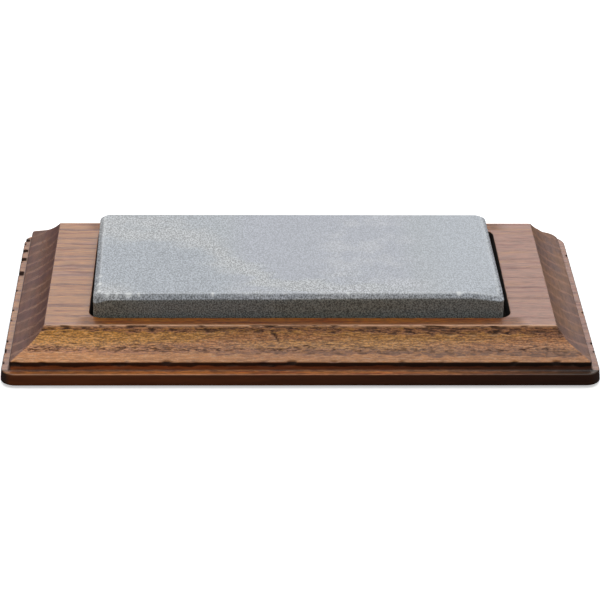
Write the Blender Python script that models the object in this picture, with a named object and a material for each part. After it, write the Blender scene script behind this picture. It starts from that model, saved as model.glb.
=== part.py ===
"""A bench whetstone that lies loose in the pocket of a moulded hardwood base.

The frame: +Z up, +X along the stone's length, and the origin on the bench, under the middle of the base.
Dimensions are named in millimetres and turned into Blender's metres by mm().
"""

import math

import bmesh
import bpy

# The whetstone, a sawn slab of natural stone.
STONE_LENGTH = 150.0
STONE_WIDTH = 75.0
STONE_THICKNESS = 15.0
STONE_CHAMFER = 1.8
STONE_CORNER_RADIUS = 1.5
STONE_STANDS_PROUD = 7.9
STONE_SHIFT_X = -0.5  # it lies loose in the pocket, pushed towards the left end

# The pocket that the stone drops into.
POCKET_CLEARANCE_X = 2.0
POCKET_CLEARANCE_Y = 1.7
POCKET_CORNER_RADIUS = 5.0

# The base, one board with a Roman ogee run round all four sides.
BOARD_THICKNESS = 16.7
TOP_FACE_BORDER_X = 15.6  # from the pocket's end to the top face's edge
TOP_FACE_BORDER_Y = 6.0
TOP_EDGE_RADIUS = 0.6
COVE_RADIUS = 21.0
COVE_START_DEG = 54.0  # slope below the horizontal where the cove leaves the top edge
OGEE_SLOPE_DEG = 28.0  # the shallow stretch between the cove and the bead
OGEE_FLAT_LENGTH = 4.9
BEAD_RADIUS = 0.7
STEP_FOOT_RADIUS = 1.0  # hollow where the step below the bead meets the ledge
LEDGE_HEIGHT = 4.5  # above the board's underside
LEDGE_WIDTH = 3.1
SLAB_EDGE_RADIUS = 0.5
SLAB_FLARE = 0.3  # how much wider the slab is at its foot than at its ledge
MITRE_RADIUS = 0.5  # plan radius where the ogee's runs meet
SLAB_CORNER_RADIUS = 5.5

# The non-slip feet, rubber discs let into the underside.
FOOT_DIAMETER = 14.0
FOOT_THICKNESS = 2.0
FOOT_PROUD = 0.8
FOOT_EDGE_RADIUS = 0.3
FOOT_INSET = 17.0  # from the slab's edges to each disc's centre

FIT_GAP = 0.3  # what touching pieces keep between them
CORNER_STEPS = 6
ARC_STEPS = 6
CIRCLE_STEPS = 40

# Levels and half sizes worked out from the sizes above.
BOARD_BOTTOM = FOOT_PROUD
BOARD_TOP = BOARD_BOTTOM + BOARD_THICKNESS
STONE_TOP = BOARD_TOP + STONE_STANDS_PROUD
STONE_BOTTOM = STONE_TOP - STONE_THICKNESS
POCKET_FLOOR = STONE_BOTTOM - FIT_GAP
POCKET_HALF_X = STONE_LENGTH / 2 + POCKET_CLEARANCE_X
POCKET_HALF_Y = STONE_WIDTH / 2 + POCKET_CLEARANCE_Y
TOP_HALF_X = POCKET_HALF_X + TOP_FACE_BORDER_X
TOP_HALF_Y = POCKET_HALF_Y + TOP_FACE_BORDER_Y

WOOD = {"color": (0.20, 0.09, 0.04), "roughness": 0.38}
STONE = {"color": (0.36, 0.38, 0.40), "roughness": 0.85}
RUBBER = {"color": (0.03, 0.03, 0.03), "roughness": 0.9}


def mm(value):
    return value * 0.001


def clear_scene():
    for obj in list(bpy.data.objects):
        bpy.data.objects.remove(obj)


def material(name, color, roughness):
    made = bpy.data.materials.new(name)
    made.use_nodes = True
    shader = made.node_tree.nodes["Principled BSDF"]
    shader.inputs["Base Color"].default_value = (*color, 1.0)
    shader.inputs["Roughness"].default_value = roughness
    shader.inputs["Metallic"].default_value = 0.0
    return made


def arc(centre, radius, start_deg, end_deg, steps=ARC_STEPS):
    """Points of an arc, both ends included. The angle runs from the first axis towards the second."""
    points = []
    for i in range(steps + 1):
        angle = math.radians(start_deg + (end_deg - start_deg) * i / steps)
        points.append((centre[0] + radius * math.cos(angle), centre[1] + radius * math.sin(angle)))
    return points


def rounded_rectangle(half_x, half_y, radius):
    """Plan outline of a rectangle with round corners, anticlockwise from its right side."""
    corners = ((1, 1, 0), (-1, 1, 90), (-1, -1, 180), (1, -1, 270))
    outline = []
    for side_x, side_y, start in corners:
        centre = (side_x * (half_x - radius), side_y * (half_y - radius))
        outline += arc(centre, radius, start, start + 90, CORNER_STEPS)
    return outline


def stacked_solid(name, levels, look, origin=(0.0, 0.0, 0.0)):
    """A closed solid skinned over (z, plan outline) levels, from the bottom up, all with as many points."""
    shape = bmesh.new()
    rings = []
    for z, outline in levels:
        rings.append([shape.verts.new((mm(x), mm(y), mm(z))) for x, y in outline])
    for lower, upper in zip(rings, rings[1:]):
        for i in range(len(lower)):
            j = (i + 1) % len(lower)
            shape.faces.new((lower[i], lower[j], upper[j], upper[i]))
    shape.faces.new(list(reversed(rings[0])))
    shape.faces.new(rings[-1])
    mesh = bpy.data.meshes.new(name)
    shape.to_mesh(mesh)
    shape.free()
    mesh.shade_smooth()
    mesh.set_sharp_from_angle(angle=math.radians(35))
    if look:
        mesh.materials.append(look)
    obj = bpy.data.objects.new(name, mesh)
    obj.location = [mm(value) for value in origin]
    bpy.context.scene.collection.objects.link(obj)
    return obj


def cut(target, cutter):
    """Takes the cutter's solid out of the target, and keeps the cutter as a guide only."""
    cutter.hide_render = True
    cutter.display_type = "WIRE"
    modifier = target.modifiers.new(cutter.name, "BOOLEAN")
    modifier.operation = "DIFFERENCE"
    modifier.solver = "EXACT"
    modifier.object = cutter


def moulding_profile():
    """The base's edge from the underside up, as (out, z, plan corner radius).

    out is measured from the top face's edge.
    """
    slope = math.radians(OGEE_SLOPE_DEG)
    steep = math.radians(COVE_START_DEG)

    # The top edge's small round ends at the cove's first slope.
    edge_out = TOP_EDGE_RADIUS * math.sin(steep)
    edge_drop = TOP_EDGE_RADIUS * (1 - math.cos(steep))
    edge = arc((0.0, BOARD_TOP - TOP_EDGE_RADIUS), TOP_EDGE_RADIUS, 90, 90 - COVE_START_DEG, 3)

    # The cove's centre lies outside the wood, above and beyond the moulding.
    cove_start = (edge_out, BOARD_TOP - edge_drop)
    cove_centre = (
        cove_start[0] + COVE_RADIUS * math.sin(steep),
        cove_start[1] + COVE_RADIUS * math.cos(steep),
    )
    cove = arc(cove_centre, COVE_RADIUS, 270 - COVE_START_DEG, 270 - OGEE_SLOPE_DEG, 8)

    # A straight stretch leads to the bead, which turns down to the vertical.
    flat_end = (
        cove[-1][0] + OGEE_FLAT_LENGTH * math.cos(slope),
        cove[-1][1] - OGEE_FLAT_LENGTH * math.sin(slope),
    )
    bead_centre = (
        flat_end[0] - BEAD_RADIUS * math.sin(slope),
        flat_end[1] - BEAD_RADIUS * math.cos(slope),
    )
    bead = arc(bead_centre, BEAD_RADIUS, 90 - OGEE_SLOPE_DEG, 0)

    # Below it a step stands on the ledge of a thin slab with eased edges.
    step_out = bead[-1][0]
    ledge_z = BOARD_BOTTOM + LEDGE_HEIGHT
    step_foot = arc((step_out + STEP_FOOT_RADIUS, ledge_z + STEP_FOOT_RADIUS), STEP_FOOT_RADIUS, 180, 270, 4)
    slab_out = step_out + LEDGE_WIDTH
    slab_top = arc((slab_out - SLAB_EDGE_RADIUS, ledge_z - SLAB_EDGE_RADIUS), SLAB_EDGE_RADIUS, 90, 0, 4)
    foot_centre = (slab_out + SLAB_FLARE - SLAB_EDGE_RADIUS, BOARD_BOTTOM + SLAB_EDGE_RADIUS)
    slab_foot = arc(foot_centre, SLAB_EDGE_RADIUS, 0, -90, 4)

    mitred = edge + cove[1:] + bead + step_foot
    slab = slab_top + slab_foot
    profile = [(out, z, MITRE_RADIUS + out * 0.05) for out, z in mitred]
    profile += [(out, z, SLAB_CORNER_RADIUS) for out, z in slab]
    return profile[::-1]


def make_base_block(look):
    levels = []
    for out, z, corner_radius in moulding_profile():
        levels.append((z, rounded_rectangle(TOP_HALF_X + out, TOP_HALF_Y + out, corner_radius)))
    block = stacked_solid("base_block", levels, look)

    pocket_outline = rounded_rectangle(POCKET_HALF_X, POCKET_HALF_Y, POCKET_CORNER_RADIUS)
    pocket = [(POCKET_FLOOR, pocket_outline), (BOARD_TOP + 5.0, pocket_outline)]
    cut(block, stacked_solid("cutter_pocket", pocket, None))
    return block


def make_whetstone(look):
    half_x, half_y, chamfer = STONE_LENGTH / 2, STONE_WIDTH / 2, STONE_CHAMFER
    wide = rounded_rectangle(half_x, half_y, STONE_CORNER_RADIUS)
    narrow = rounded_rectangle(half_x - chamfer, half_y - chamfer, STONE_CORNER_RADIUS)
    levels = [
        (0.0, narrow),
        (chamfer, wide),
        (STONE_THICKNESS - chamfer, wide),
        (STONE_THICKNESS, narrow),
    ]
    return stacked_solid("whetstone", levels, look, origin=(STONE_SHIFT_X, 0.0, STONE_BOTTOM))


def circle(radius):
    return arc((0.0, 0.0), radius, 0, 360 - 360 / CIRCLE_STEPS, CIRCLE_STEPS - 1)


def make_feet(block, look):
    """Four rubber discs, each let into a round recess in the block's underside."""
    slab_out = max(out for out, z, corner_radius in moulding_profile())
    reach_x = TOP_HALF_X + slab_out - FOOT_INSET
    reach_y = TOP_HALF_Y + slab_out - FOOT_INSET
    radius = FOOT_DIAMETER / 2
    disc = [(0.0, circle(radius - FOOT_EDGE_RADIUS))]
    disc += [(FOOT_EDGE_RADIUS, circle(radius)), (FOOT_THICKNESS, circle(radius))]
    hole = circle(radius + FIT_GAP)
    recess = [(-2.0, hole), (FOOT_THICKNESS + FIT_GAP, hole)]
    for depth_name, side_y in (("front", -1), ("back", 1)):
        for side_name, side_x in (("left", -1), ("right", 1)):
            place = (side_x * reach_x, side_y * reach_y, 0.0)
            corner = f"{depth_name}_{side_name}"
            stacked_solid(f"foot_{corner}", disc, look, origin=place)
            cut(block, stacked_solid(f"cutter_recess_{corner}", recess, None, origin=place))


def main():
    clear_scene()
    block = make_base_block(material("stained_wood", **WOOD))
    make_whetstone(material("natural_stone", **STONE))
    make_feet(block, material("rubber", **RUBBER))


main()
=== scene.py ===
"""Looks for a bench whetstone in its moulded hardwood base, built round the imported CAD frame.

Lengths are in millimetres, and mm() turns them into Blender's metres. +X runs along the stone and the wood's
grain, +Y to the back and +Z up, with the origin on the bench under the middle of the base.
"""
import math

import bmesh
import bpy
import numpy as np
from mathutils import Matrix, Vector, noise


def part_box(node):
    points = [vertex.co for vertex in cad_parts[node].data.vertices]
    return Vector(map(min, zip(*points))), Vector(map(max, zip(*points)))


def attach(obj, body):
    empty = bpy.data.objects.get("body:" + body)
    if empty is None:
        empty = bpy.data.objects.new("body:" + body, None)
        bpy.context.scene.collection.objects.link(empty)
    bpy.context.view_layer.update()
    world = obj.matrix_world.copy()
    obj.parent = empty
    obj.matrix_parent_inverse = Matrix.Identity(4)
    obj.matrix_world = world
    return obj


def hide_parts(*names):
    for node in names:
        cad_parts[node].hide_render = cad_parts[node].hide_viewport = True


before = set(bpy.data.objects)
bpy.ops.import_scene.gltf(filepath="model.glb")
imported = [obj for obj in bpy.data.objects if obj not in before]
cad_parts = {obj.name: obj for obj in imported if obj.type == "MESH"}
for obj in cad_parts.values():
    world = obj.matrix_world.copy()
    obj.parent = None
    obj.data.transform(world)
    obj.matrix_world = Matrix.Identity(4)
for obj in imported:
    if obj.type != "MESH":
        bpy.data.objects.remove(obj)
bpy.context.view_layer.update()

# The moulding, as the CAD base has it.
TOP_EDGE_RADIUS = 0.6
COVE_RADIUS = 21.0
COVE_START_DEG = 54.0
OGEE_SLOPE_DEG = 28.0
OGEE_FLAT_LENGTH = 4.9
BEAD_RADIUS = 0.7
STEP_FOOT_RADIUS = 1.0
LEDGE_HEIGHT = 4.5
LEDGE_WIDTH = 3.1
SLAB_EDGE_RADIUS = 0.5
SLAB_FLARE = 0.3
MITRE_RADIUS = 0.5
MITRE_GROWTH = 0.05  # how much the mitre's plan radius grows for each millimetre out
SLAB_CORNER_RADIUS = 5.5

# The pocket round the stone.
POCKET_CLEARANCE_X = 2.0
POCKET_CLEARANCE_Y = 1.7
POCKET_CORNER_RADIUS = 5.0
POCKET_RIM_RADIUS = 0.35
FIT_GAP = 0.3

# The feet's rubber discs.
FOOT_EDGE_RADIUS = 0.35
FOOT_DISH = 0.12  # how hollow the underside is
FOOT_POINTS = 64

# The stone's edges, ground by hand and worn by use.
STONE_CHAMFER = 1.85
STONE_CORNER_RADII = (3.0, 2.8, 1.6, 1.8)  # back right, back left, front left, front right
STONE_OUT_OF_SQUARE = 0.7  # how much shorter it is along its back
STONE_TAPER = 1.4  # how far back its front edge lies at the right end
STONE_LEFT_SKEW = 0.9  # how far its back left corner lies to the left of its front one
CORNER_WEAR_REACH = 13.0  # at the front right
CORNER_WEAR_DEPTH = 1.5
LEFT_CORNER_WEAR_REACH = 6.0
LEFT_CORNER_WEAR_DEPTH = 1.2
EDGE_CHIPS = (  # x along the front's top edge, half length, strength
    (-69.8, 0.9, 0.45),
    (-66.3, 0.7, 0.40),
    (-62.1, 1.5, 0.50),
    (-58.4, 0.6, 0.35),
    (-31.5, 0.8, 0.25),
    (18.0, 0.7, 0.22),
    (58.4, 1.1, 0.30),
)
LEFT_CHIPS = ((-33.0, 1.3), (-27.0, 1.6), (-20.5, 0.9))  # y along the left end's top edge, half length
FULL_CHIP = 0.45  # a chip of this strength is CHIP_DEPTH deep
CHIP_DEPTH = 0.3
CRUMB_DEPTH = 0.05

# The wood's annual rings: flat sheets, nearly upright, that run along the board.
RING_PERIOD = 8.6
RING_START = -42.6  # where the front ring's porous early wood begins
WIDE_RING_LIMIT = -37.0  # the early wood is broader in front of this
RING_LEAN = 0.30  # how far a ring leans forwards for each millimetre up
RING_DRIFT = 0.008  # how far it drifts for each millimetre along the board

# Damage to the base.
BACK_CORNER_WEAR = 7.5  # plan radius that the back right corner is worn to
BACK_CORNER_WEAR_OUT = (2.0, 12.0)  # it grows to that over this distance out from the top face's edge
LEFT_RIM_PITS = ((55.4, 1.3), (45.4, 1.2), (37.4, 1.4), (24.4, 1.8))  # y, half length
NICK_PLACE = (-9.0, 14.2)  # x, z
NICK_LENGTH = 1.6
NICK_WIDTH = 0.7
NICK_DEPTH = 0.3
PIT_DEPTH = 0.9
PIT_REACH_IN = 0.3
PIT_START_OUT = (12.9, 14.2)  # beyond the top face's end
SMALL_PIT_START_OUT = (14.2, 15.0)
GRAIN_DEPTH = 0.02
TEAR_DEPTH = 0.26
SPLINTER_DEPTH = 0.38
MOULDING_FOOT_Z = (8.0, 8.6)  # grain is torn above this
BEAD_START_Z = (6.8, 7.3)  # and the bead splintered between these two
BEAD_END_Z = (9.0, 8.6)
# The slab rim's painted highlight grows along with its rubbing:
RIM_RUB_AND_HIGHLIGHT_X = (55.0, -70.0)  # the slab's rim is rubbed more and more from the first to the second

# Where the base's colours change, each over a short stretch of height, width or length.
BOARD_LENGTH = 217.0  # places along the board are told as shares of this
TOP_FACE_Z = (16.0, 16.8)
UPPER_BAND_Z = (12.5, 13.5)  # the moulding's upper porous band lies above this, and its lower one below
LOWER_MOULDING_Z = (10.4, 11.3)
BEAD_FOOT_Z = (8.3, 8.8)
QUIRK_SHADE_Z = (6.7, 7.3)
QUIRK_FOOT_Z = (5.6, 6.4)
SLAB_TOP_Z = (5.25, 5.45)
FRONT_LEDGE_Y = (56.5, 57.5)
LEDGE_HOLLOW_SHADE_Y = (57.3, 58.6)
# The strips of the top beside the stone, where shade and the stone's dark reflection are painted:
SHADED_STRIP_Y = (38.2, 39.2)
SHADED_STRIP_END_X = (77.0, 84.0)

# The wood's colours, in linear light. A tint multiplies the colour that it lies on.
MOULDED_GOLDEN = (0.60, 0.252, 0.036, 1)
MOULDED_ROSY = (0.53, 0.196, 0.048, 1)
MOULDED_EARLY = (0.300, 0.115, 0.045, 1)
POLISHED_GOLDEN = (0.305, 0.106, 0.010, 1)
POLISHED_ROSY = (0.245, 0.088, 0.040, 1)
POLISHED_EARLY = (0.140, 0.044, 0.020, 1)
CHALKY_FIBRE = (0.66, 0.46, 0.27, 1)
OPEN_PORE = (0.062, 0.027, 0.017, 1)
LEFT_END_RED = (0.165, 0.062, 0.032, 1)
LEFT_END_BROWN = (0.135, 0.048, 0.036, 1)
RIGHT_END_TAN = (0.195, 0.095, 0.052, 1)
RIGHT_END_GREY = (0.150, 0.078, 0.060, 1)
END_GRAIN_LINE = (0.37, 0.190, 0.125, 1)
# The upright faces, darkened by painted shade, most at the right:
LEFT_SIDE = (0.255, 0.065, 0.015, 1)
RIGHT_SIDE = (0.064, 0.019, 0.007, 1)
END_SIDE = (0.058, 0.026, 0.020, 1)
# Paler rubbed wood, which also paints the highlight along the edges:
RUBBED_WOOD_AND_HIGHLIGHT = (0.72, 0.40, 0.23, 1)
# Torn grain, and the painted shade in the rim pits:
TORN_WOOD_AND_PIT_SHADE = (0.040, 0.018, 0.012, 1)
# Near-black painted shade for the pocket round the stone:
POCKET_SHADE = (0.012, 0.007, 0.005, 1)
PLUM_TINT = (1.25, 0.85, 0.75, 1)
LEFT_LEDGE_TINT = (0.92, 0.86, 0.35, 1)
RIGHT_LEDGE_TINT = (0.90, 0.95, 0.75, 1)
# Painted shade and dark reflection for the strips beside the stone:
STRIP_SHADE_TINT = (0.66, 0.59, 0.20, 1)

# The stone's colours, in linear light: its top is lapped, and its sides and chamfers are sawn.
LAPPED_BLUE = (0.440, 0.466, 0.495, 1)
LAPPED_CHALKY = (0.480, 0.494, 0.507, 1)
LAPPED_HOLLOW = (0.412, 0.440, 0.476, 1)
LAPPED_LAVENDER = (0.442, 0.461, 0.506, 1)
LAPPED_RIGHT = (0.462, 0.492, 0.530, 1)
LAPPED_CLOUD = (0.505, 0.520, 0.552, 1)
SAWN_GREY = (0.400, 0.420, 0.405, 1)
SAWN_CHALKY = (0.385, 0.390, 0.340, 1)
# Fresh broken stone, also used for a painted highlight along the arris:
FRESH_STONE_AND_HIGHLIGHT = (0.78, 0.80, 0.80, 1)

# The rubber's colours, in linear light.
RUBBER_DARK = (0.013, 0.0123, 0.0116, 1)
RUBBER_LIGHT = (0.0296, 0.0273, 0.0252, 1)

# The chalky drift across the stone's top, which bends over from the back to the front.
DRIFT_MIDDLE_X = -29.0
DRIFT_BEND_X = 16.0
DRIFT_HALF_RISE = 27.0
DRIFT_HALF_WIDTH = 18.0

# The camera, a long lens looking down on the front.
CAMERA_PLACE = (-22.63, -853.54, 418.13)
CAMERA_PITCH = 0.44995
CAMERA_YAW = -0.02744
CAMERA_ROLL = 0.01237
SENSOR_WIDTH = 36.0
LENS = 149.49


def mm(value):
    return value * 0.001


def grey(level):
    return level, level, level, 1


def smooth(low, high, value):
    """0 below low, 1 above high, and a smooth step between them. low may be the larger of the two."""
    t = min(max((value - low) / (high - low), 0.0), 1.0)
    return t * t * (3 - 2 * t)


def ripple(place, size, seed=0):
    """Smooth noise from about -1 to 1, with features of the given size, one number or one for each axis."""
    sizes = size if hasattr(size, "__len__") else (size, size, size)
    shift = (seed * 17.31, seed * 5.17, seed * 9.73)
    return noise.noise(Vector([place[i] / sizes[i] + shift[i] for i in range(3)]))


# ---------------------------------------------------------------------------------------------------------
# Meshes skinned over rings
# ---------------------------------------------------------------------------------------------------------


def arc(centre, radius, start_deg, end_deg, steps):
    angles = np.radians(np.linspace(start_deg, end_deg, steps + 1))
    return np.stack([centre[0] + radius * np.cos(angles), centre[1] + radius * np.sin(angles)], -1)


def plan_outline(half_x, half_y, radius, steps_x, steps_y, corner_steps=8):
    """A rectangle with round corners, anticlockwise, with the same number of points whatever its size.

    radius is one number, or four: back right, back left, front left, front right.
    """
    radii = radius if hasattr(radius, "__len__") else (radius,) * 4
    corners = ((1, 1, 0), (-1, 1, 90), (-1, -1, 180), (1, -1, 270))
    arcs = []
    for (side_x, side_y, start), corner_radius in zip(corners, radii):
        centre = (side_x * (half_x - corner_radius), side_y * (half_y - corner_radius))
        arcs.append(arc(centre, corner_radius, start, start + 90, corner_steps))
    points = []
    for i, corner in enumerate(arcs):
        following = arcs[(i + 1) % 4]
        steps = steps_x if i % 2 == 0 else steps_y
        along = np.linspace(0, 1, steps + 1)[1:-1, None]
        points.append(corner)
        points.append(corner[-1] + (following[0] - corner[-1]) * along)
    return np.concatenate(points)


def rings_from(levels, steps_x, steps_y):
    """An array [ring, point, xyz] from (half_x, half_y, z, corner radius) levels."""
    rings = []
    for half_x, half_y, z, radius in levels:
        outline = plan_outline(half_x, half_y, radius, steps_x, steps_y)
        rings.append(np.column_stack([outline, np.full(len(outline), z)]))
    return np.array(rings)


def ring_normals(rings):
    around = np.roll(rings, -1, axis=1) - np.roll(rings, 1, axis=1)
    upward = np.gradient(rings, axis=0)
    normals = np.cross(around, upward)
    return normals / np.maximum(np.linalg.norm(normals, axis=2, keepdims=True), 1e-9)


def ring_mesh(name, rings, attributes=None):
    """A closed mesh over the rings, from its bottom cap up. Each attribute has a value for each point."""
    count, around = rings.shape[:2]
    index = np.arange(count * around).reshape(count, around)
    following = np.roll(index, -1, axis=1)
    quads = np.stack([index[:-1], following[:-1], following[1:], index[1:]], -1).reshape(-1, 4)
    faces = quads.tolist()
    faces.append(index[0][::-1].tolist())
    faces.append(index[-1].tolist())
    mesh = bpy.data.meshes.new(name)
    mesh.from_pydata((rings.reshape(-1, 3) * 0.001).tolist(), [], faces)
    for key, values in (attributes or {}).items():
        layer = mesh.attributes.new(key, "FLOAT", "POINT")
        layer.data.foreach_set("value", np.asarray(values, np.float32).ravel())
    obj = bpy.data.objects.new(name, mesh)
    bpy.context.scene.collection.objects.link(obj)
    return obj


def finish_shading(obj, look, sharp_deg=40):
    obj.data.shade_smooth()
    obj.data.set_sharp_from_angle(angle=math.radians(sharp_deg))
    obj.data.materials.clear()
    obj.data.materials.append(look)


# ---------------------------------------------------------------------------------------------------------
# Materials
# ---------------------------------------------------------------------------------------------------------


class Look:
    """A material, with short calls for the nodes that the ones here are made of."""

    def __init__(self, name):
        self.material = bpy.data.materials.new(name)
        self.material.use_nodes = True
        self.tree = self.material.node_tree
        self.shader = self.tree.nodes["Principled BSDF"]
        coordinates = self.tree.nodes.new("ShaderNodeTexCoord")
        self.normal = coordinates.outputs["Normal"]
        # The place on the piece in millimetres, which moves with it.
        self.place = self.scaled(coordinates.outputs["Object"], (1000, 1000, 1000))

    def put(self, socket, value):
        if isinstance(value, bpy.types.NodeSocket):
            self.tree.links.new(value, socket)
        else:
            socket.default_value = value

    def scaled(self, vector, factors):
        node = self.tree.nodes.new("ShaderNodeVectorMath")
        node.operation = "MULTIPLY"
        self.put(node.inputs[0], vector)
        node.inputs[1].default_value = factors
        return node.outputs[0]

    def dot(self, vector, other):
        node = self.tree.nodes.new("ShaderNodeVectorMath")
        node.operation = "DOT_PRODUCT"
        self.put(node.inputs[0], vector)
        node.inputs[1].default_value = other
        return node.outputs["Value"]

    def calc(self, operation, first, second=0.0, third=None):
        node = self.tree.nodes.new("ShaderNodeMath")
        node.operation = operation
        self.put(node.inputs[0], first)
        self.put(node.inputs[1], second)
        if third is not None:
            self.put(node.inputs[2], third)
        return node.outputs[0]

    def product(self, first, *others):
        for other in others:
            first = self.calc("MULTIPLY", first, other)
        return first

    def inverse(self, share):
        """1 where a share is 0, and 0 where it is 1."""
        return self.span(share, 0.0, 1.0, 1.0, 0.0)

    def times(self, colour, factor):
        """A colour made lighter or darker by a number."""
        node = self.tree.nodes.new("ShaderNodeVectorMath")
        node.operation = "SCALE"
        self.put(node.inputs[0], colour)
        self.put(node.inputs["Scale"], factor)
        return node.outputs[0]

    def noise(self, sizes, detail=2.0, roughness=0.5, shift=(0, 0, 0)):
        """Noise about 0.5, with features of the given sizes in millimetres along x, y and z."""
        move = self.tree.nodes.new("ShaderNodeVectorMath")
        move.operation = "MULTIPLY_ADD"
        self.put(move.inputs[0], self.place)
        move.inputs[1].default_value = [1 / size for size in sizes]
        move.inputs[2].default_value = shift
        node = self.tree.nodes.new("ShaderNodeTexNoise")
        node.inputs["Scale"].default_value = 1.0
        node.inputs["Detail"].default_value = detail
        node.inputs["Roughness"].default_value = roughness
        self.put(node.inputs["Vector"], move.outputs[0])
        return node.outputs["Fac"]

    def span(self, value, low, high, to_low=0.0, to_high=1.0, smoothly=True):
        node = self.tree.nodes.new("ShaderNodeMapRange")
        node.interpolation_type = "SMOOTHSTEP" if smoothly else "LINEAR"
        self.put(node.inputs["Value"], value)
        self.put(node.inputs["From Min"], low)
        self.put(node.inputs["From Max"], high)
        self.put(node.inputs["To Min"], to_low)
        self.put(node.inputs["To Max"], to_high)
        return node.outputs["Result"]

    def mix(self, share, first, second, blend="MIX"):
        node = self.tree.nodes.new("ShaderNodeMix")
        node.data_type = "RGBA"
        node.blend_type = blend
        self.put(node.inputs["Factor"], share)
        self.put(node.inputs[6], first)
        self.put(node.inputs[7], second)
        return node.outputs[2]

    def tint(self, share, colour, multiplier):
        return self.mix(share, colour, self.mix(1.0, colour, multiplier, "MULTIPLY"))

    def attribute(self, name):
        node = self.tree.nodes.new("ShaderNodeAttribute")
        node.attribute_name = name
        return node.outputs["Fac"]

    def bump(self, height, depth, strength):
        """A normal from a height field of 0 to 1 that is depth millimetres deep."""
        node = self.tree.nodes.new("ShaderNodeBump")
        node.inputs["Strength"].default_value = strength
        node.inputs["Distance"].default_value = mm(depth)
        self.put(node.inputs["Height"], height)
        return node.outputs["Normal"]

    def set(self, **values):
        for key, value in values.items():
            self.put(self.shader.inputs[key.replace("_", " ")], value)


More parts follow.
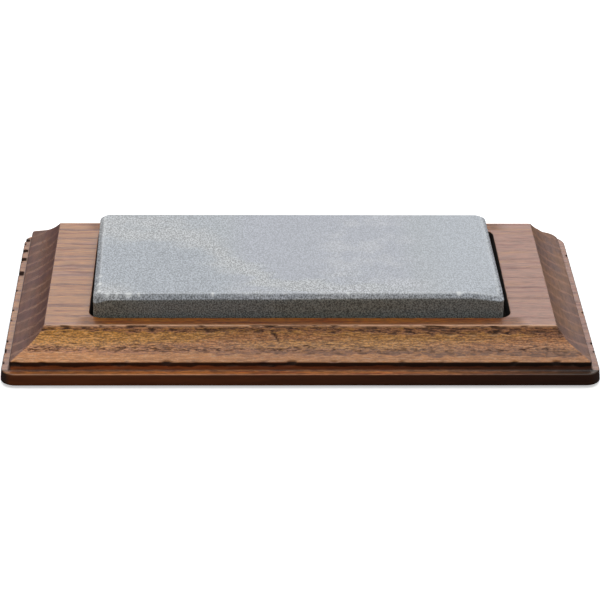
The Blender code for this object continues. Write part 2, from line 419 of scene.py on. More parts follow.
class Wood(Look):
    """Stained hardwood cut from one board, so that its rings, fibres and pores run on from face to face."""

    def __init__(self):
        super().__init__("stained_hardwood")
        self.find_faces()
        self.grow_rings()
        self.grow_fibres()
        colour = self.mix(self.span(self.lengthways, 0.12, 0.42), self.long_grain(), self.end_grain())
        colour = self.stain_and_shade_ledge(colour)
        colour = self.mix(self.upright, colour, self.painted_shade_sides())
        colour = self.paint_strip_shade(colour)
        self.finish(colour)

    def find_faces(self):
        """What kind of face each point lies on, each as a share from 0 to 1."""
        self.upward = self.dot(self.normal, (0, 0, 1))
        self.lengthways = self.calc("ABSOLUTE", self.dot(self.normal, (1, 0, 0)))
        self.height_up = self.dot(self.place, (0, 0, 1))
        self.across = self.calc("ABSOLUTE", self.dot(self.place, (0, 1, 0)))
        # From -0.5 at the left end to 0.5 at the right.
        self.x_share = self.dot(self.place, (1 / BOARD_LENGTH, 0, 0))
        low = self.span(self.height_up, *BEAD_FOOT_Z, 1.0, 0.0)
        flat_ledge = self.product(self.span(self.upward, 0.2, 0.6), low)
        self.flat = self.calc("MAXIMUM", self.span(self.upward, 0.93, 0.99), flat_ledge)
        self.sloping = self.inverse(self.flat)
        self.upright = self.product(self.span(self.upward, 0.25, 0.7, 1.0, 0.0), low)
        self.lower_moulding = self.span(self.height_up, *LOWER_MOULDING_Z, 1.0, 0.0)
        self.front_ledge = self.product(self.flat, low, self.span(self.across, *FRONT_LEDGE_Y))
        beside = self.calc("ABSOLUTE", self.dot(self.place, (1, 0, 0)))
        self.strip = self.product(
            self.span(self.across, *SHADED_STRIP_Y),
            self.span(beside, *SHADED_STRIP_END_X, 1.0, 0.0),
            self.span(self.upward, 0.90, 0.97),
            self.span(self.height_up, *TOP_FACE_Z),
        )

    def grow_rings(self):
        """How far each point lies through its annual ring, and in the ring's porous early wood."""
        wander = self.calc("MULTIPLY_ADD", self.noise((240, 30, 30), 1.0), 5.0, -2.5)
        wander = self.product(wander, self.span(self.dot(self.place, (0, 1, 0)), -44, -25, 0.2, 1.0))
        ragged = self.calc("MULTIPLY_ADD", self.noise((20, 5.0, 5.0), 3.0, 0.6, (7, 3, 1)), 4.0, -2.0)
        nibbled = self.calc("MULTIPLY_ADD", self.noise((4.5, 1.4, 1.4), 2.0, 0.6, (2, 9, 4)), 3.4, -1.7)
        nibbled = self.product(nibbled, self.span(self.flat, 0.0, 1.0, 1.0, 0.15))
        self.sheet = self.dot(self.place, (RING_DRIFT, 1.0, RING_LEAN))
        for part in (wander, ragged, nibbled):
            self.sheet = self.calc("ADD", self.sheet, part)
        turns = self.calc("DIVIDE", self.calc("SUBTRACT", self.sheet, RING_START), RING_PERIOD)
        self.ring = self.calc("FRACT", turns)
        width = self.span(self.sheet, WIDE_RING_LIMIT - 3, WIDE_RING_LIMIT, 0.34, 0.17)
        early = self.span(self.ring, self.product(width, 0.45), self.product(width, 1.7), 1.0, 0.0)
        early = self.calc("MAXIMUM", early, self.span(self.ring, 0.95, 0.995, 0.0, 0.8))
        faded = self.span(self.noise((60, 7, 7), 2.0, 0.5, (4, 4, 8)), 0.38, 0.58, 0.40, 1.0)
        self.early = self.product(early, self.mix(self.flat, grey(1.0), faded))

    def grow_fibres(self):
        """Fibres run long and thin along the grain. Mouldings cut across them, and show shorter dashes."""
        self.streaks = self.noise((24, 1.9, 1.9), 4.0, 0.68)
        self.hair = self.noise((6, 0.7, 0.7), 3.0, 0.65, (3, 8, 2))
        self.dashes = self.noise((3.2, 0.50, 0.50), 2.0, 0.7, (1, 4, 9))
        self.speckled = self.span(self.dashes, 0.36, 0.64, 1.32, 0.68)
        fine_hair = self.span(self.hair, 0.34, 0.66, 0.76, 1.24)
        self.calm_tone = self.product(self.span(self.streaks, 0.34, 0.66, 0.88, 1.12), fine_hair)
        darkest = self.span(self.x_share, -0.2, 0.3, 0.50, 0.66)
        self.top_tone = self.product(self.span(self.streaks, 0.34, 0.50, darkest, 1.10), fine_hair)
        # Open pores, crowded in the early wood.
        pore_limit = self.span(self.early, 0.0, 1.0, 0.68, 0.53, smoothly=False)
        self.pores = self.product(
            self.span(self.calc("SUBTRACT", self.dashes, pore_limit), 0.0, 0.04),
            self.span(self.flat, 0.0, 1.0, 1.0, 0.3),
            self.span(self.lower_moulding, 0.0, 1.0, 1.0, 0.25),
        )

    def ring_colours(self):
        """The late wood's colour on the mouldings, and the long grain's on every face."""
        # The stain took more golden in some rings and rosier in others, and rosier towards the right.
        hue = self.noise((60, 6, 6), 3.0, 0.6, (8, 2, 6))
        hue = self.calc("ADD", hue, self.product(self.x_share, 0.30))
        rosiness = self.span(hue, 0.42, 0.62)
        rosiness = self.calc("MAXIMUM", rosiness, self.span(self.sheet, -51.5, -48.0, 0.8, 0.0))
        moulded_wood = self.mix(rosiness, MOULDED_GOLDEN, MOULDED_ROSY)
        late_wood = self.mix(self.flat, moulded_wood, self.mix(rosiness, POLISHED_GOLDEN, POLISHED_ROSY))
        early_wood = self.mix(self.flat, MOULDED_EARLY, POLISHED_EARLY)
        lower_band = self.span(self.x_share, -0.4, 0.4, 1.30, 0.70)
        early_wood = self.times(
            early_wood, self.mix(self.span(self.height_up, *UPPER_BAND_Z), lower_band, grey(1.15))
        )
        flat_share = self.span(self.x_share, -0.2, 0.3, 0.85, 0.50)
        early_share = self.product(self.early, self.mix(self.flat, grey(0.85), flat_share))
        return moulded_wood, self.mix(early_share, late_wood, early_wood)

    def long_grain(self):
        moulded_wood, colour = self.ring_colours()
        flecks = self.noise((0.9, 0.42, 0.42), 1.0, 0.7, (6, 1, 3))
        dashed = self.span(self.dashes, 0.36, 0.64, 1.30, 0.55)
        dashed = self.product(dashed, self.span(flecks, 0.38, 0.62, 0.66, 1.34))
        moulded_tone = self.mix(self.product(self.lower_moulding, 0.62), dashed, self.calm_tone)
        colour = self.times(colour, self.mix(self.flat, moulded_tone, self.top_tone))
        plum = self.product(self.span(self.streaks, 0.34, 0.50, 1.0, 0.0), self.flat)
        colour = self.tint(plum, colour, PLUM_TINT)
        chalk = self.product(
            self.span(self.dashes, 0.50, 0.36, 0.0, 0.30),
            self.sloping,
            self.span(self.early, 0.0, 1.0, 1.0, 0.1),
        )
        colour = self.mix(chalk, colour, CHALKY_FIBRE)

        # Pale veins thread the porous bands where the moulding cuts through them.
        blobs = self.noise((6.5, 2.2, 2.2), 2.0, 0.6, (5, 7, 1))
        off_vein = self.calc("ABSOLUTE", self.calc("SUBTRACT", blobs, 0.5))
        vein = self.product(self.span(off_vein, 0.0, 0.040, 0.75, 0.0), self.early, self.sloping)
        colour = self.mix(vein, colour, moulded_wood)
        moulding_fade = self.span(self.x_share, -0.40, -0.05, 1.08, 0.81)
        colour = self.times(colour, self.mix(self.flat, moulding_fade, grey(1.0)))
        return self.mix(self.product(self.pores, 0.75), colour, OPEN_PORE)

    def end_grain(self):
        """End grain drinks in more stain, and shows each ring's first pores as a soft pale line."""
        right_end = self.span(self.x_share, -0.3, 0.3)
        stain = self.span(self.noise((12, 12, 9), 2.0), 0.38, 0.62)
        figure = self.span(self.noise((9, 14, 9), 3.0, 0.6, (2, 2, 5)), 0.38, 0.62)
        left_colour = self.mix(stain, LEFT_END_RED, LEFT_END_BROWN)
        right_colour = self.mix(figure, RIGHT_END_TAN, RIGHT_END_GREY)
        colour = self.mix(right_end, left_colour, right_colour)
        rays = self.noise((1.8, 7.0, 1.2), 3.0, 0.65, (5, 5, 5))
        colour = self.times(colour, self.span(rays, 0.36, 0.64, 0.84, 1.16))
        off_line = self.calc("PINGPONG", self.calc("ADD", self.ring, 0.92), 0.5)
        pale_line = self.product(
            self.span(off_line, 0.0, 0.19, 1.0, 0.0),
            self.span(self.noise((5, 9, 9), 2.0, 0.6, (3, 3, 7)), 0.38, 0.6, 0.55, 1.0),
            self.span(right_end, 0.0, 1.0, 0.72, 0.55),
        )
        colour = self.mix(pale_line, colour, END_GRAIN_LINE)
        return self.times(colour, self.span(self.x_share, -0.3, 0.3, 0.92, 1.2))

    def stain_and_shade_ledge(self, colour):
        """The slab's front ledge is less polished, darker towards its right end, and darkened in its hollow
        by painted shade.
        """
        left_tone = self.span(self.x_share, -0.45, -0.1, 1.2, 1.95)
        right_tone = self.span(self.x_share, 0.1, 0.50, 1.95, 0.19)
        tone = self.calc("MINIMUM", left_tone, right_tone)
        # Painted shade in the ledge's hollow, next to the step.
        tone = self.product(tone, self.span(self.across, *LEDGE_HOLLOW_SHADE_Y, 0.42, 1.0), self.speckled)
        colour = self.times(colour, self.mix(self.front_ledge, grey(1.0), tone))
        hue = self.mix(self.span(self.x_share, -0.2, 0.3), LEFT_LEDGE_TINT, RIGHT_LEDGE_TINT)
        return self.tint(self.front_ledge, colour, hue)

    def painted_shade_sides(self):
        """Painted shade darkens the upright faces, most at the right, at the ends and under the bead."""
        colour = self.mix(self.span(self.x_share, -0.5, 0.5), LEFT_SIDE, RIGHT_SIDE)
        colour = self.times(colour, self.span(self.streaks, 0.34, 0.66, 0.85, 1.15))
        colour = self.mix(self.span(self.lengthways, 0.25, 0.75), colour, END_SIDE)
        ragged = self.calc("MULTIPLY_ADD", self.noise((7, 2.0, 2.0), 3.0, 0.6, (3, 1, 6)), 2.4, -1.2)
        ragged_height = self.calc("ADD", self.height_up, ragged)
        # Painted shade: dark under the bead, and lighter in the hollow below it.
        quirk_shade = self.calc(
            "MINIMUM",
            self.span(ragged_height, *QUIRK_SHADE_Z, 1.85, 0.30),
            self.span(ragged_height, *QUIRK_FOOT_Z, 1.05, 1.85),
        )
        return self.times(colour, self.mix(self.span(self.height_up, *SLAB_TOP_Z), grey(1.0), quirk_shade))

    def paint_strip_shade(self, colour):
        """Painted shade and a painted dark reflection of the stone darken the strips of the top along the
        stone's long sides.
        """
        strip_shaded = self.mix(1.0, colour, STRIP_SHADE_TINT, "MULTIPLY")
        return self.mix(self.strip, colour, self.times(strip_shaded, self.speckled))

    def finish(self, colour):
        # Rubbed edges have lost their stain and carry a painted highlight, and torn grain holds dust and old
        # oil.
        torn = self.attribute("torn")
        pocket = self.attribute("pocket")
        colour = self.mix(self.product(self.attribute("rubbed"), 0.8), colour, RUBBED_WOOD_AND_HIGHLIGHT)
        # This also paints shade into the rim pits.
        colour = self.mix(self.product(torn, 0.96), colour, TORN_WOOD_AND_PIT_SHADE)
        # The pocket's walls and floor are painted near-black shade.
        colour = self.mix(pocket, colour, POCKET_SHADE)

        relief = self.calc("MULTIPLY_ADD", self.pores, -0.6, self.product(self.dashes, -0.3))
        relief = self.calc("MULTIPLY_ADD", self.hair, 0.25, relief)
        relief = self.calc("MULTIPLY_ADD", self.early, -0.2, relief)
        matt = self.calc("MAXIMUM", self.calc("MAXIMUM", self.pores, torn), pocket)
        self.set(Base_Color=colour, Normal=self.bump(relief, 0.16, 0.5))
        self.set(Roughness=self.span(matt, 0.0, 1.0, 0.45, 0.9), IOR=1.5, Specular_IOR_Level=0.45)

        # The varnish is thickest on the top's late wood, thin on the mouldings, and gone where it is matt.
        lustre = self.product(
            self.span(self.top_tone, 0.45, 1.0, 0.50, 1.0),
            self.span(self.early, 0.0, 1.0, 1.0, 0.75),
        )
        varnish = self.product(
            self.mix(self.flat, grey(0.15), lustre),
            self.span(self.flat, 0.0, 1.0, 1.0, 0.53),
            self.inverse(matt),
            self.span(self.calc("MAXIMUM", self.strip, self.front_ledge), 0.0, 1.0, 1.0, 0.2),
        )
        self.set(Coat_Weight=varnish, Coat_Roughness=0.22, Coat_IOR=1.5)
        self.set(Coat_Normal=self.bump(relief, 0.05, 0.35))


def stone_look():
    look = Look("lapped_natural_stone")
    upward = look.span(look.dot(look.normal, (0, 0, 1)), 0.80, 0.99)
    sideways = look.span(look.dot(look.normal, (0, 0, 1)), 0.15, 0.60, 1.0, 0.0)
    speck = look.noise((0.52, 0.95, 0.50), 1.0, 0.6)
    grain = look.noise((0.36, 0.60, 0.36), 1.0, 0.6, (2, 6, 1))
    speckle = look.calc("ADD", look.product(speck, 0.6), look.product(grain, 0.4))

    # The body is blue-grey. A chalky, coarser drift slants across it and then runs along the front.
    along_x = look.dot(look.place, (1, 0, 0))
    along_y = look.dot(look.place, (0, 1, 0))
    bend = look.calc("MULTIPLY_ADD", along_x, 1 / DRIFT_BEND_X, -DRIFT_MIDDLE_X / DRIFT_BEND_X)
    bend = look.calc("TANH", bend)
    wander = look.calc("MULTIPLY_ADD", look.noise((34, 16, 16), 5.0, 0.68, (9, 2, 4)), 64.0, -30.0)
    off_drift = look.calc("ADD", look.calc("MULTIPLY_ADD", bend, DRIFT_HALF_RISE, along_y), wander)
    drift = look.span(look.calc("ABSOLUTE", off_drift), 0.0, DRIFT_HALF_WIDTH, 1.0, 0.0)
    drift = look.product(drift, look.span(along_x, 20, 55, 1.0, 0.35))
    front_left = look.product(look.span(along_x, -70, -52, 1, 0), look.span(along_y, -35, -18, 1, 0))
    chalky = look.calc("MAXIMUM", drift, front_left)

    # It is darker in the hollow in front of the drift, lavender in the middle and cloudy further right.
    hollow = look.product(
        look.span(off_drift, -26, -8, 1, 0),
        look.span(along_x, -30, -15, 1, 0),
        look.inverse(front_left),
    )
    off_middle = look.calc("ABSOLUTE", look.calc("ADD", along_x, -9.0))
    lavender = look.product(look.span(off_middle, 26, 38, 1, 0), look.inverse(drift))
    off_cloud = look.calc("ABSOLUTE", look.calc("ADD", along_x, -27.0))
    cloudy = look.span(look.noise((13, 11, 11), 4.0, 0.65, (1, 7, 2)), 0.46, 0.62)
    cloudy = look.product(cloudy, look.span(off_cloud, 12, 24, 1, 0))
    lapped = look.mix(chalky, LAPPED_BLUE, LAPPED_CHALKY)
    lapped = look.mix(hollow, lapped, LAPPED_HOLLOW)
    lapped = look.mix(lavender, lapped, LAPPED_LAVENDER)
    lapped = look.mix(look.span(along_x, 42, 62), lapped, LAPPED_RIGHT)
    lapped = look.mix(look.product(cloudy, 0.8), lapped, LAPPED_CLOUD)
    lapped = look.times(lapped, look.span(upward, 0.0, 1.0, 0.87, 1.0))
    body = look.mix(sideways, lapped, look.mix(chalky, SAWN_GREY, SAWN_CHALKY))

    # Specks are faint where it is lapped smooth, and strong on the sawn faces and chamfers.
    drift_depth = look.span(chalky, 0.0, 1.0, 0.19, 0.37)
    depth = look.calc("MAXIMUM", drift_depth, look.span(along_x, -40, -5, 0.29, 0.19))
    darkest, lightest = look.calc("SUBTRACT", 1.0, depth), look.calc("ADD", 1.0, depth)
    faint = look.span(speckle, 0.38, 0.62, darkest, lightest)
    strong = look.span(speckle, 0.38, 0.62, 0.46, 1.54)
    body = look.times(body, look.mix(upward, strong, faint))
    # Fresh broken stone in the chips, and a painted highlight along the arris.
    body = look.mix(look.product(look.attribute("fresh_and_arris_highlight"), 0.85), body, FRESH_STONE_AND_HIGHLIGHT)
    look.set(Base_Color=body, Normal=look.bump(speckle, 0.16, 0.6))
    look.set(Roughness=look.span(speck, 0.3, 0.7, 0.60, 0.85), Specular_IOR_Level=0.4)
    return look.material


def rubber_look():
    look = Look("black_rubber")
    pebbles = look.noise((0.5, 0.5, 0.5), 2.0, 0.5)
    look.set(Base_Color=look.mix(look.span(pebbles, 0.3, 0.7), RUBBER_DARK, RUBBER_LIGHT))
    look.set(Normal=look.bump(pebbles, 0.05, 0.5), Roughness=look.span(pebbles, 0.3, 0.7, 0.7, 0.9))
    return look.material


def floor_look():
    look = Look("pale_floor")
    mottle = look.noise((9, 9, 9), 3.0, 0.5)
    look.set(Base_Color=look.mix(mottle, grey(0.93), grey(0.96)), Roughness=0.9)
    look.set(Specular_IOR_Level=0.1, Emission_Color=grey(1.0), Emission_Strength=0.5)
    return look.material


# ---------------------------------------------------------------------------------------------------------
# The base
# ---------------------------------------------------------------------------------------------------------

base_low, base_high = [corner * 1000 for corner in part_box("base_block")]
stone_low, stone_high = [corner * 1000 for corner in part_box("whetstone")]
BOARD_BOTTOM, BOARD_TOP = base_low.z, base_high.z
POCKET_FLOOR = stone_low.z - FIT_GAP
POCKET_HALF_X = (stone_high.x - stone_low.x) / 2 + POCKET_CLEARANCE_X
POCKET_HALF_Y = (stone_high.y - stone_low.y) / 2 + POCKET_CLEARANCE_Y
LEDGE_Z = BOARD_BOTTOM + LEDGE_HEIGHT


def moulding_profile():
    """The base's edge from the underside up, as [out, z, plan corner radius].

    out is measured from the top face's edge.
    """
    slope = math.radians(OGEE_SLOPE_DEG)
    steep = math.radians(COVE_START_DEG)
    edge_out = TOP_EDGE_RADIUS * math.sin(steep)
    edge_drop = TOP_EDGE_RADIUS * (1 - math.cos(steep))
    edge = arc((0.0, BOARD_TOP - TOP_EDGE_RADIUS), TOP_EDGE_RADIUS, 90, 90 - COVE_START_DEG, 5)
    cove_start = (edge_out, BOARD_TOP - edge_drop)
    cove_centre = (
        cove_start[0] + COVE_RADIUS * math.sin(steep),
        cove_start[1] + COVE_RADIUS * math.cos(steep),
    )
    cove = arc(cove_centre, COVE_RADIUS, 270 - COVE_START_DEG, 270 - OGEE_SLOPE_DEG, 14)
    flat_end = cove[-1] + OGEE_FLAT_LENGTH * np.array([math.cos(slope), -math.sin(slope)])
    flat = np.linspace(cove[-1], flat_end, 8)
    bead_centre = flat_end - BEAD_RADIUS * np.array([math.sin(slope), math.cos(slope)])
    bead = arc(bead_centre, BEAD_RADIUS, 90 - OGEE_SLOPE_DEG, 0, 7)

    step_out = bead[-1][0]
    step_centre = (step_out + STEP_FOOT_RADIUS, LEDGE_Z + STEP_FOOT_RADIUS)
    step_foot = arc(step_centre, STEP_FOOT_RADIUS, 180, 270, 6)
    slab_out = step_out + LEDGE_WIDTH
    slab_top = arc((slab_out - SLAB_EDGE_RADIUS, LEDGE_Z - SLAB_EDGE_RADIUS), SLAB_EDGE_RADIUS, 90, 0, 6)
    foot_centre = (slab_out + SLAB_FLARE - SLAB_EDGE_RADIUS, BOARD_BOTTOM + SLAB_EDGE_RADIUS)
    slab_foot = arc(foot_centre, SLAB_EDGE_RADIUS, 0, -90, 5)

    step = np.linspace(bead[-1], step_foot[0], 4)[1:-1]
    mitred = np.concatenate([edge, cove[1:], flat[1:], bead[1:], step, step_foot])
    mitred = np.column_stack([mitred, MITRE_RADIUS + mitred[:, 0] * MITRE_GROWTH])
    slab = np.concatenate([slab_top, np.linspace(slab_top[-1], slab_foot[0], 5)[1:-1], slab_foot])
    slab = np.column_stack([slab, np.full(len(slab), SLAB_CORNER_RADIUS)])
    ledge = np.linspace(mitred[-1], slab[0], 6)[1:-1]
    return np.concatenate([mitred, ledge, slab])[::-1]


def top_face_half():
    """Half the top face's length and width, and how far the slab reaches beyond it."""
    slab_out = moulding_profile()[:, 0].max()
    return base_high.x - slab_out, base_high.y - slab_out, slab_out


def base_levels():
    """(half_x, half_y, z, corner radius) of every ring, up the outside, over the top and into the pocket."""
    profile = moulding_profile()
    top_x, top_y, slab_out = top_face_half()
    levels = []
    for out, z, radius in profile:
        worn_radius = max(radius, BACK_CORNER_WEAR * smooth(*BACK_CORNER_WEAR_OUT, out))
        levels.append((top_x + out, top_y + out, z, (worn_radius, radius, radius, radius)))
    rim = POCKET_RIM_RADIUS
    rim_outer = (POCKET_HALF_X + rim, POCKET_HALF_Y + rim, BOARD_TOP, POCKET_CORNER_RADIUS + rim)
    top_edge = (top_x, top_y, BOARD_TOP, MITRE_RADIUS)
    levels += [tuple(level) for level in np.linspace(top_edge, rim_outer, 10)[1:]]
    for out, z in arc((rim, BOARD_TOP - rim), rim, 90, 180, 4)[1:]:
        levels.append((POCKET_HALF_X + out, POCKET_HALF_Y + out, z, POCKET_CORNER_RADIUS + out))
    wall_foot = (POCKET_HALF_X, POCKET_HALF_Y, POCKET_FLOOR, POCKET_CORNER_RADIUS)
    levels += [tuple(level) for level in np.linspace(levels[-1], wall_foot, 6)[1:]]
    for inset in (1.0, 3.0, 4.5):
        radius = POCKET_CORNER_RADIUS - inset
        levels.append((POCKET_HALF_X - inset, POCKET_HALF_Y - inset, POCKET_FLOOR, radius))
    return levels


def early_wood_share(place):
    """How far a place lies in its ring's porous early wood, from 0 to 1."""
    sheet = place[1] + RING_LEAN * place[2] + RING_DRIFT * place[0]
    turns = (sheet - RING_START) / RING_PERIOD
    width = 0.34 - 0.19 * smooth(WIDE_RING_LIMIT - 3, WIDE_RING_LIMIT, sheet)
    return smooth(width * 1.3, width * 0.8, turns - math.floor(turns))


def rim_pit(place, out, spread=1.0):
    """How far a place lies in one of the pits where early wood has broken out of an end rim, from 0 to 1."""
    if place[2] < LEDGE_Z - 2.5 or out < PIT_START_OUT[0]:
        return 0.0
    deep = 0.0
    if place[0] < 0:
        for y, half_length in LEFT_RIM_PITS:
            away = abs(place[1] - y) / spread
            deep = max(deep, smooth(half_length, half_length * 0.4, away))
    small = early_wood_share(place) * smooth(-0.1, 0.4, ripple(place, (50, 4, 4), 8)) * 0.7
    return max(deep * smooth(*PIT_START_OUT, out), small * smooth(*SMALL_PIT_START_OUT, out))


def nick(place):
    """How far a place lies in the small forked gouge on the front of the moulding, from 0 to 1."""
    along = (place[2] - NICK_PLACE[1]) / NICK_LENGTH
    fork = 0.7 * max(along, 0.0)
    across = abs(abs(place[0] - NICK_PLACE[0] + along * 1.5) - fork) / NICK_WIDTH
    if place[1] > 0 or abs(along) > 1:
        return 0.0
    return smooth(1.0, 0.3, across) * smooth(1.0, 0.6, abs(along))


def torn_grain(place, normal):
    """How far early wood is torn out of the long mouldings at a place, from 0 to 1."""
    front_ring = smooth(WIDE_RING_LIMIT - 9, WIDE_RING_LIMIT - 7, place[1] + RING_LEAN * place[2])
    size = 2.2 + 1.8 * front_ring
    tear = early_wood_share(place) * smooth(0.14, 0.40, ripple(place, (size, 0.9, 0.9), 3))
    on_moulding = smooth(0.25, 0.45, abs(normal[1])) * smooth(*MOULDING_FOOT_Z, place[2])
    return tear * on_moulding * (0.55 + 0.3 * front_ring)


def bead_splinter(place, normal):
    """How far the bead's underside is splintered at a place, from 0 to 1."""
    on_bead = smooth(*BEAD_START_Z, place[2]) * smooth(*BEAD_END_Z, place[2])
    on_bead *= smooth(0.3, 0.5, abs(normal[1]))
    return on_bead * smooth(0.16, 0.45, ripple(place, (5.0, 3.0, 3.0), 7))


def rubbed_edge_and_highlight(place, top_y, slab_out):
    """How far the top's long edges and the slab's long rims are rubbed back to paler wood with a painted
    highlight, from 0 to 1.
    """
    y = abs(place[1])
    top_edge = smooth(BOARD_TOP - 0.55, BOARD_TOP - 0.1, place[2]) * smooth(-0.2, 0.05, y - top_y)
    rim = smooth(LEDGE_Z - 0.6, LEDGE_Z - 0.15, place[2]) * smooth(-1.0, -0.5, y - top_y - slab_out)
    rim *= 0.55 * smooth(*RIM_RUB_AND_HIGHLIGHT_X, place[0])
    patchy = 0.75 + 0.5 * ripple(place, (22, 5, 5), 9)
    return min(max(patchy * (top_edge + rim), 0.0), 1.0)


def wear_base(rings):
    """Gives the base's outside its grain, torn wood, pits and nick, and says where it is torn or rubbed,
    with painted shade in its pits and a painted highlight on its edges.
    """
    normals = ring_normals(rings)
    top_x, top_y, slab_out = top_face_half()
    torn = np.zeros(rings.shape[:2])
    rubbed = np.zeros(rings.shape[:2])
    for i in range(len(moulding_profile())):
        for j in range(rings.shape[1]):
            place, normal = rings[i, j].copy(), normals[i, j]
            end_out = abs(place[0]) - top_x
            tear = torn_grain(place, normal)
            splinter = bead_splinter(place, normal)
            gouge = nick(place)
            sunk = smooth(0.35, 0.9, rim_pit(place, end_out))
            grain = GRAIN_DEPTH * (1 + ripple(place, (30, 1.6, 1.6), 1))
            depth = grain + TEAR_DEPTH * tear + SPLINTER_DEPTH * splinter + NICK_DEPTH * gouge
            rings[i, j] -= normal * depth
            rings[i, j, 2] -= PIT_DEPTH * sunk
            rings[i, j, 0] -= math.copysign(PIT_REACH_IN * sunk, place[0])
            # Painted shade darkens the rim pits' walls.
            pit_shade = 3.5 * rim_pit(place, end_out, 1.3)
            torn[i, j] = min(1.0, tear + 0.8 * splinter + gouge + pit_shade)
            # rubbed also marks the painted highlight along the top's edges and the slab's rims.
            rubbed[i, j] = rubbed_edge_and_highlight(place, top_y, slab_out) * (1 - torn[i, j])
    return torn, rubbed


def make_base(look):
    rings = rings_from(base_levels(), 300, 230)
    torn, rubbed = wear_base(rings)
    pocket = np.zeros(rings.shape[:2])
    pocket[len(moulding_profile()) + 11:] = 1.0
    base = ring_mesh("base_block_fine", rings, {"torn": torn, "rubbed": rubbed, "pocket": pocket})
    cut_foot_recesses(base)
    finish_shading(base, look)
    return base


def foot_places():
    return {name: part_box(name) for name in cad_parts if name.startswith("foot_")}


def cut_foot_recesses(base):
    """Takes the round recesses for the feet out of the underside."""
    for name, (low, high) in foot_places().items():
        centre = (low + high) * 500
        radius = (high.x - low.x) * 500 + FIT_GAP
        disc = arc((centre.x, centre.y), radius, 0, 360 - 360 / FOOT_POINTS, FOOT_POINTS - 1)
        heights = (-1.0, high.z * 1000 + FIT_GAP)
        levels = [np.column_stack([disc, np.full(len(disc), z)]) for z in heights]
        cutter = ring_mesh("recess_cutter", np.array(levels))
        modifier = base.modifiers.new("recess", "BOOLEAN")
        modifier.operation = "DIFFERENCE"
        modifier.solver = "EXACT"
        modifier.object = cutter
        apply_modifiers(base)
        bpy.data.objects.remove(cutter)


def apply_modifiers(obj):
    graph = bpy.context.evaluated_depsgraph_get()
    mesh = bpy.data.meshes.new_from_object(obj.evaluated_get(graph))
    obj.modifiers.clear()
    obj.data = mesh


# ---------------------------------------------------------------------------------------------------------
# The stone
# ---------------------------------------------------------------------------------------------------------


def softened_chamfer(chamfer, lower_radius, upper_radius):
    """An edge from the side up to the top, as [inset, drop], with both of the chamfer's corners rounded."""
    lower_tangent = lower_radius * math.tan(math.radians(22.5))
    upper_tangent = upper_radius * math.tan(math.radians(22.5))
    lower = arc((lower_radius, chamfer + lower_tangent), lower_radius, 180, 225, 4)
    upper = arc((chamfer + upper_tangent, upper_radius), upper_radius, 225, 270, 5)
    slope = np.linspace(lower[-1], upper[0], 5)[1:-1]
    return np.concatenate([lower, slope, upper])


def stone_rings(edge, half_x, half_y):
    """The stone with the same edge all round, top and bottom."""
    radii = np.array(STONE_CORNER_RADII)
    levels = [(half_x - inset, half_y - inset, stone_low.z + drop, radii) for inset, drop in edge[::-1]]
    side_low, side_high = stone_low.z + edge[0][1], stone_high.z - edge[0][1]
    levels += [(half_x, half_y, z, radii) for z in np.linspace(side_low, side_high, 9)[1:-1]]
    levels += [(half_x - inset, half_y - inset, stone_high.z - drop, radii) for inset, drop in edge]
    rim = edge[-1][0]
    for inset in (0.25, 0.6, 1.1, 1.8, 2.8, 4.2, 6.0, 8.5, 11.5):
        levels.append((half_x - rim - inset, half_y - rim - inset, stone_high.z, radii))
    return rings_from(levels, 360, 180)


def chip_share(x, y, wide_arris):
    """How far a place lies in a chip of the front or left top edge, from 0 to about 1."""
    chip = 0.0
    if y < 0:
        for chip_x, half_length, strength in EDGE_CHIPS:
            near = smooth(half_length, half_length * 0.3, abs(x - chip_x))
            chip = max(chip, wide_arris * near * strength / FULL_CHIP)
    if x < 0:
        for chip_y, half_length in LEFT_CHIPS:
            near = smooth(half_length, half_length * 0.3, abs(y - chip_y))
            chip = max(chip, wide_arris * near * 0.7)
    return chip


def wear_stone(rings, half_x, half_y):
    """Wears and chips the stone, takes it out of square, and says where it is freshly broken and where a
    highlight is painted along its arris.
    """
    fresh_and_arris_highlight = np.zeros(rings.shape[:2])
    for i in range(rings.shape[0]):
        for j in range(rings.shape[1]):
            x, y, z = rings[i, j]
            below = stone_high.z - z
            inset = min(half_x - abs(x), half_y - abs(y))
            on_edge = smooth(3.6, 1.8, inset) * smooth(4.5, 1.6, below)

            # Hand grinding left the chamfer wandering.
            wave = 0.09 * ripple((x, y, 0), 18, 2) + 0.03 * ripple((x, y, 0), 4, 4)
            z += wave * on_edge * smooth(0.0, 1.2, below)
            y += math.copysign(0.5 * wave * on_edge, y)

            # Small crumbs are out of the arris, and a few larger chips.
            off_arris = abs(inset - STONE_CHAMFER)
            arris = smooth(0.9, 0.3, off_arris) * smooth(1.0, 0.3, below)
            wide_arris = smooth(1.5, 0.5, off_arris) * smooth(1.6, 0.5, below)
            crumb = arris * smooth(0.25, 0.55, ripple((x, y, 0), 2.6, 6))
            chip = chip_share(x, y, wide_arris)
            z -= CRUMB_DEPTH * crumb + CHIP_DEPTH * chip
            # Chips and crumbs are fresh, paler stone; the arris share is a painted highlight.
            fresh_and_arris_highlight[i, j] = min(1.0, 0.25 * crumb + 1.5 * chip + 0.2 * arris)

            # The chamfers run deeper where they meet at the front left corner.
            reach = math.hypot(half_x + x, (y + half_y) * 1.3)
            on_chamfer = smooth(0.5, 1.85, below) * smooth(5.5, 3.5, below)
            z -= LEFT_CORNER_WEAR_DEPTH * smooth(LEFT_CORNER_WEAR_REACH, 0.5, reach) * on_chamfer

            # The front right corner is worn down.
            reach = math.hypot(half_x - x, (y + half_y) * 1.3)
            worn = smooth(CORNER_WEAR_REACH, 0.0, reach)
            z -= CORNER_WEAR_DEPTH * worn * smooth(3.2, 0.8, below)

            # Neither end is square, and it tapers to the right.
            x -= STONE_OUT_OF_SQUARE * smooth(0.0, half_x, x) * (y + half_y) / (2 * half_y)
            y += STONE_TAPER * (0.55 + 0.45 * x / half_x) * (half_y - y) / (2 * half_y)
            x -= STONE_LEFT_SKEW * smooth(0.0, -half_x, x) * (y + half_y) / (2 * half_y)
            rings[i, j] = x, y, z
    return fresh_and_arris_highlight


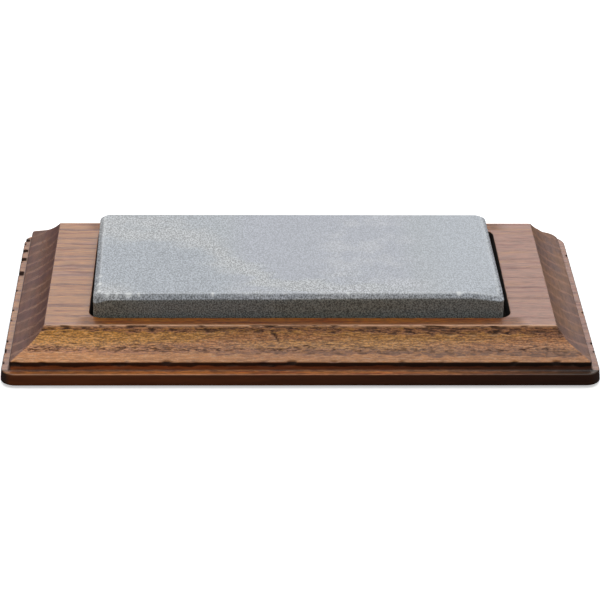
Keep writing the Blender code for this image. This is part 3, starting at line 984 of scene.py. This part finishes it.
def make_stone(look):
    half_x = (stone_high.x - stone_low.x) / 2
    half_y = (stone_high.y - stone_low.y) / 2
    crisp = stone_rings(softened_chamfer(STONE_CHAMFER, 0.25, 0.18), half_x, half_y)
    rubbed = stone_rings(softened_chamfer(STONE_CHAMFER - 0.35, 1.5, 2.0), half_x, half_y)
    softness = np.clip(0.5 + 0.45 * crisp[..., 0] / half_x, 0.0, 1.0)
    softness = np.maximum(softness, np.clip((crisp[..., 1] + 10) / 40, 0.0, 0.6))[..., None]
    rings = crisp + (rubbed - crisp) * softness
    fresh_and_arris_highlight = wear_stone(rings, half_x, half_y)
    rings[..., 0] += (stone_high.x + stone_low.x) / 2
    stone = ring_mesh("whetstone_fine", rings, {"fresh_and_arris_highlight": fresh_and_arris_highlight})
    finish_shading(stone, look, 60)
    return stone


def make_foot(name, look):
    """A rubber disc with a rounded rim and a slightly dished underside."""
    low, high = [corner * 1000 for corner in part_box(name)]
    centre = (low + high) / 2
    radius = (high.x - low.x) / 2
    edge = FOOT_EDGE_RADIUS
    profile = []
    for share in (0.1, 0.3, 0.5, 0.7, 0.82):
        profile.append((radius * share, low.z + FOOT_DISH * (1 - share * share)))
    profile += [(radius - edge * 2, low.z)]
    profile += [tuple(point) for point in arc((radius - edge, low.z + edge), edge, -90, 0, 5)]
    profile += [tuple(point) for point in arc((radius - edge, high.z - edge), edge, 0, 90, 5)]
    angles = np.radians(np.arange(FOOT_POINTS) * 360 / FOOT_POINTS)
    rings = []
    for out, z in profile:
        ring = [centre.x + out * np.cos(angles), centre.y + out * np.sin(angles), np.full(FOOT_POINTS, z)]
        rings.append(np.stack(ring, -1))
    foot = ring_mesh(name + "_fine", np.array(rings))
    finish_shading(foot, look)
    return foot


# ---------------------------------------------------------------------------------------------------------
# Floor, light and camera
# ---------------------------------------------------------------------------------------------------------


def make_floor(look):
    mesh = bpy.data.meshes.new("floor")
    shape = bmesh.new()
    bmesh.ops.create_circle(shape, cap_ends=True, segments=96, radius=12.0)
    shape.to_mesh(mesh)
    shape.free()
    mesh.materials.append(look)
    floor = bpy.data.objects.new("floor", mesh)
    bpy.context.scene.collection.objects.link(floor)
    floor.visible_diffuse = False
    floor.visible_glossy = False


def make_softbox(name, place, aim, size, radiance):
    light = bpy.data.lights.new(name, "AREA")
    light.shape = "RECTANGLE"
    light.size, light.size_y = size
    light.energy = radiance * math.pi * size[0] * size[1]
    obj = bpy.data.objects.new(name, light)
    obj.location = place
    obj.rotation_euler = (Vector(aim) - Vector(place)).to_track_quat("-Z", "Y").to_euler()
    bpy.context.scene.collection.objects.link(obj)


def make_world():
    """A dim room, darker in front of the object than behind it, behind a white backdrop."""
    world = bpy.data.worlds.new("studio")
    bpy.context.scene.world = world
    world.use_nodes = True
    tree = world.node_tree
    coordinates = tree.nodes.new("ShaderNodeTexCoord")
    towards = tree.nodes.new("ShaderNodeVectorMath")
    towards.operation = "DOT_PRODUCT"
    towards.inputs[1].default_value = (0.05, 0.12, 0.90)
    tree.links.new(coordinates.outputs["Generated"], towards.inputs[0])
    level = tree.nodes.new("ShaderNodeMapRange")
    level.inputs["From Min"].default_value = -0.2
    level.inputs["From Max"].default_value = 0.9
    level.inputs["To Min"].default_value = 0.05
    level.inputs["To Max"].default_value = 0.45
    tree.links.new(towards.outputs["Value"], level.inputs["Value"])
    backdrop = tree.nodes.new("ShaderNodeLightPath")
    choose = tree.nodes.new("ShaderNodeMix")
    tree.links.new(backdrop.outputs["Is Camera Ray"], choose.inputs["Factor"])
    tree.links.new(level.outputs["Result"], choose.inputs["A"])
    choose.inputs["B"].default_value = 1.0
    background = tree.nodes["Background"]
    background.inputs["Color"].default_value = (1, 1, 1, 1)
    tree.links.new(choose.outputs["Result"], background.inputs["Strength"])


def make_camera():
    data = bpy.data.cameras.new("camera")
    data.sensor_width = SENSOR_WIDTH
    data.lens = LENS
    camera = bpy.data.objects.new("camera", data)
    bpy.context.scene.collection.objects.link(camera)
    tilt = Matrix.Rotation(math.pi / 2 - CAMERA_PITCH, 4, "X")
    turn = Matrix.Rotation(CAMERA_YAW, 4, "Z") @ tilt @ Matrix.Rotation(CAMERA_ROLL, 4, "Z")
    camera.matrix_world = Matrix.Translation([mm(value) for value in CAMERA_PLACE]) @ turn
    bpy.context.scene.camera = camera


# ---------------------------------------------------------------------------------------------------------
# Putting it together
# ---------------------------------------------------------------------------------------------------------

make_camera()
make_world()
make_softbox("softbox_above", (0.0, 0.35, 2.0), (0, 0.35, 0), (2.6, 1.7), 2.0)
make_softbox("softbox_behind", (0.0, 2.02, 1.29), (0, 0, 0), (3.2, 1.15), 1.7)
make_floor(floor_look())
bpy.context.scene.view_settings.view_transform = "Standard"

base = make_base(Wood().material)
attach(base, "base")
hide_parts("base_block")

stone = make_stone(stone_look())
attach(stone, "stone")
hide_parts("whetstone")

rubber = rubber_look()
for foot_name in sorted(foot_places()):
    foot = make_foot(foot_name, rubber)
    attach(foot, "base")
    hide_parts(foot_name)
